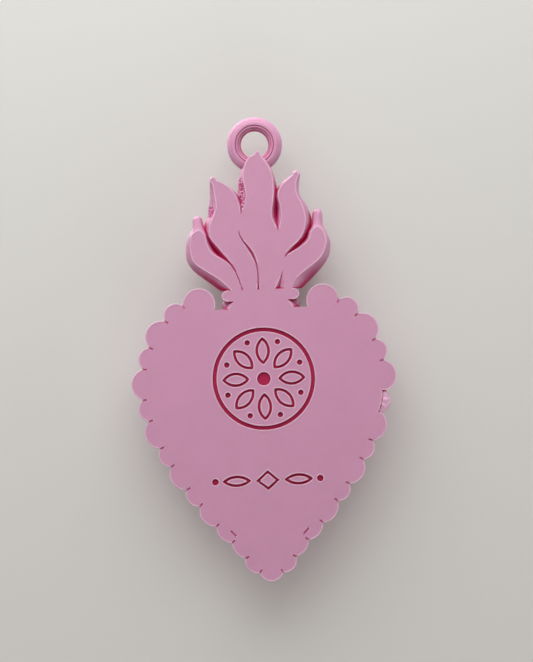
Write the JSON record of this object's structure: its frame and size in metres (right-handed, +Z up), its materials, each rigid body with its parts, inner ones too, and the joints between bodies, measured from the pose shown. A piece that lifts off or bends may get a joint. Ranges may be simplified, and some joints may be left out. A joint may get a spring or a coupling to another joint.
{
  "type": "milagro charm",
  "caption": "Flat-backed heart charm with a scalloped rim, a beaded collar, a crown of flames and a round ring at the top to hang it by.",
  "frame": {"origin": "centre of the hanging ring's hole, in the middle of the ring's thickness", "axes": "+Z up the charm from the heart's tip to the ring, +X to the right when the flat back is looked at, +Y from the flat back to the raised front"},
  "size_m": [0.053, 0.0105, 0.093],
  "materials": {
    "pink_pla": "matte FDM-printed PLA with fine layer and raster lines"
  },
  "bodies": {
    "root": {"heart_back_plate": "pink_pla", "heart_dome": "pink_pla", "rim_lobe_left_01": "pink_pla", "rim_lobe_left_02": "pink_pla", "rim_lobe_left_03": "pink_pla", "rim_lobe_left_04": "pink_pla", "rim_lobe_left_05": "pink_pla", "rim_lobe_left_06": "pink_pla", "rim_lobe_left_07": "pink_pla", "rim_lobe_left_08": "pink_pla", "rim_lobe_left_09": "pink_pla", "rim_lobe_left_10": "pink_pla", "rim_lobe_left_11": "pink_pla", "rim_lobe_left_12": "pink_pla", "rim_lobe_left_13": "pink_pla", "rim_lobe_left_14": "pink_pla", "rim_lobe_right_01": "pink_pla", "rim_lobe_right_02": "pink_pla", "rim_lobe_right_03": "pink_pla", "rim_lobe_right_04": "pink_pla", "rim_lobe_right_05": "pink_pla", "rim_lobe_right_06": "pink_pla", "rim_lobe_right_07": "pink_pla", "rim_lobe_right_08": "pink_pla", "rim_lobe_right_09": "pink_pla", "rim_lobe_right_10": "pink_pla", "rim_lobe_right_11": "pink_pla", "rim_lobe_right_12": "pink_pla", "rim_lobe_right_13": "pink_pla", "rim_lobe_right_14": "pink_pla", "rim_lobe_tip": "pink_pla", "neck": "pink_pla", "collar": "pink_pla", "collar_beads": "pink_pla", "flame_centre": "pink_pla", "flame_inner_left": "pink_pla", "flame_inner_right": "pink_pla", "flame_outer_left": "pink_pla", "flame_outer_right": "pink_pla", "hanging_ring": "pink_pla"}
  },
  "joints": []
}
